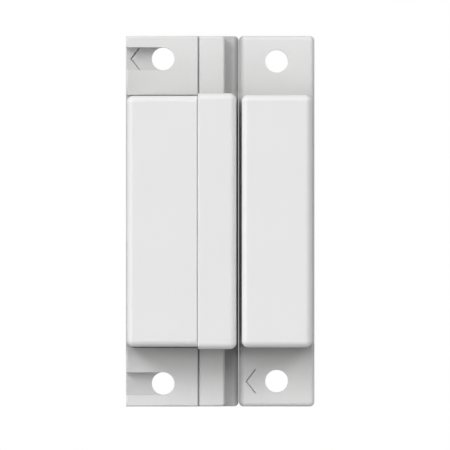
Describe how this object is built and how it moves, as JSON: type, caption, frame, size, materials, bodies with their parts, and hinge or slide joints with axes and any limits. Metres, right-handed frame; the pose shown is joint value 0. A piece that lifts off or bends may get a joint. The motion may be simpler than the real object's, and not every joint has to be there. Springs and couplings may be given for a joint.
{
  "type": "magnetic door contact",
  "caption": "Surface-mount magnetic door contact: a screw-terminal reed switch unit with a lift-off lid and a matching magnet unit, both with screw tabs.",
  "frame": {"origin": "centre of the footprint of both units, on the mounting plane", "axes": "+Z out of the wall, away from the mounting plane; +Y along the long side; +X from the switch unit to the magnet unit"},
  "size_m": [0.0322, 0.0636, 0.0127],
  "materials": {
    "housing_plastic": "light grey-white injection-moulded ABS, fine matt texture",
    "base_plastic": "light grey-white injection-moulded ABS, satin",
    "plated_brass": "satin brass strip, stamped",
    "zinc_steel": "bright zinc-plated steel",
    "clamp_steel": "zinc-plated pressed steel",
    "reed_glass": "pale green sealed glass",
    "reed_alloy": "nickel-iron wire, plated contact end",
    "solder": "bright tin solder",
    "potting_resin": "poured dark grey epoxy",
    "magnet_metal": "ground cast magnet alloy"
  },
  "bodies": {
    "switch_unit": {"switch_base": "base_plastic", "terminal_body": "housing_plastic", "reed_housing": "housing_plastic", "tamper_link": "plated_brass", "reed_tube": "reed_glass", "fixed_reed_blade": "reed_alloy", "fixed_reed_lead": "reed_alloy", "moving_reed_lead": "reed_alloy", "fixed_lead_solder": "solder", "moving_lead_solder": "solder", "reed_potting": "potting_resin", "terminal_plate_1": "plated_brass", "terminal_plate_2": "plated_brass", "terminal_plate_3": "plated_brass", "terminal_plate_4": "plated_brass"},
    "lid": {"terminal_cover": "housing_plastic"},
    "moving_blade": {"moving_reed_blade": "reed_alloy"},
    "magnet_unit": {"magnet_housing": "housing_plastic", "bar_magnet": "magnet_metal", "magnet_potting": "potting_resin"},
    "clamp_1": {"clamp_washer_1": "clamp_steel"},
    "screw_1": {"terminal_screw_1": "zinc_steel"},
    "clamp_2": {"clamp_washer_2": "clamp_steel"},
    "screw_2": {"terminal_screw_2": "zinc_steel"},
    "clamp_3": {"clamp_washer_3": "clamp_steel"},
    "screw_3": {"terminal_screw_3": "zinc_steel"},
    "clamp_4": {"clamp_washer_4": "clamp_steel"},
    "screw_4": {"terminal_screw_4": "zinc_steel"}
  },
  "joints": [
    {"name": "lid_lift", "type": "slide", "parent": "switch_unit", "child": "lid", "axis": [0, 0, 1], "range_m": [0, 0.02]},
    {"name": "magnet_away", "type": "slide", "parent": "switch_unit", "child": "magnet_unit", "axis": [1, 0, 0], "range_m": [0, 0.05]},
    {"name": "reed_flex", "type": "hinge", "parent": "switch_unit", "child": "moving_blade", "pos_m": [-0.00047, 0.00645, 0.00719], "axis": [-1, 0, 0], "range_deg": [0, 2.4]},
    {"name": "clamp_lift_1", "type": "slide", "parent": "switch_unit", "child": "clamp_1", "axis": [0, 0, 1], "range_m": [0, 0.0015]},
    {"name": "screw_turn_1", "type": "hinge", "parent": "clamp_1", "child": "screw_1", "pos_m": [-0.00775, -0.0135, 0.008], "axis": [0, 0, 1], "range_deg": [0, 1080]},
    {"name": "clamp_lift_2", "type": "slide", "parent": "switch_unit", "child": "clamp_2", "axis": [0, 0, 1], "range_m": [0, 0.0015]},
    {"name": "screw_turn_2", "type": "hinge", "parent": "clamp_2", "child": "screw_2", "pos_m": [-0.00775, -0.0045, 0.008], "axis": [0, 0, 1], "range_deg": [0, 1080]},
    {"name": "clamp_lift_3", "type": "slide", "parent": "switch_unit", "child": "clamp_3", "axis": [0, 0, 1], "range_m": [0, 0.0015]},
    {"name": "screw_turn_3", "type": "hinge", "parent": "clamp_3", "child": "screw_3", "pos_m": [-0.00775, 0.0045, 0.008], "axis": [0, 0, 1], "range_deg": [0, 1080]},
    {"name": "clamp_lift_4", "type": "slide", "parent": "switch_unit", "child": "clamp_4", "axis": [0, 0, 1], "range_m": [0, 0.0015]},
    {"name": "screw_turn_4", "type": "hinge", "parent": "clamp_4", "child": "screw_4", "pos_m": [-0.00775, 0.0135, 0.008], "axis": [0, 0, 1], "range_deg": [0, 1080]}
  ],
  "couplings": [
    {"joint": "reed_flex", "follows": "magnet_away", "rad_per_m": 0.83692},
    {"joint": "screw_turn_1", "follows": "clamp_lift_1", "rad_per_m": 12565},
    {"joint": "screw_turn_2", "follows": "clamp_lift_2", "rad_per_m": 12565},
    {"joint": "screw_turn_3", "follows": "clamp_lift_3", "rad_per_m": 12565},
    {"joint": "screw_turn_4", "follows": "clamp_lift_4", "rad_per_m": 12565}
  ]
}
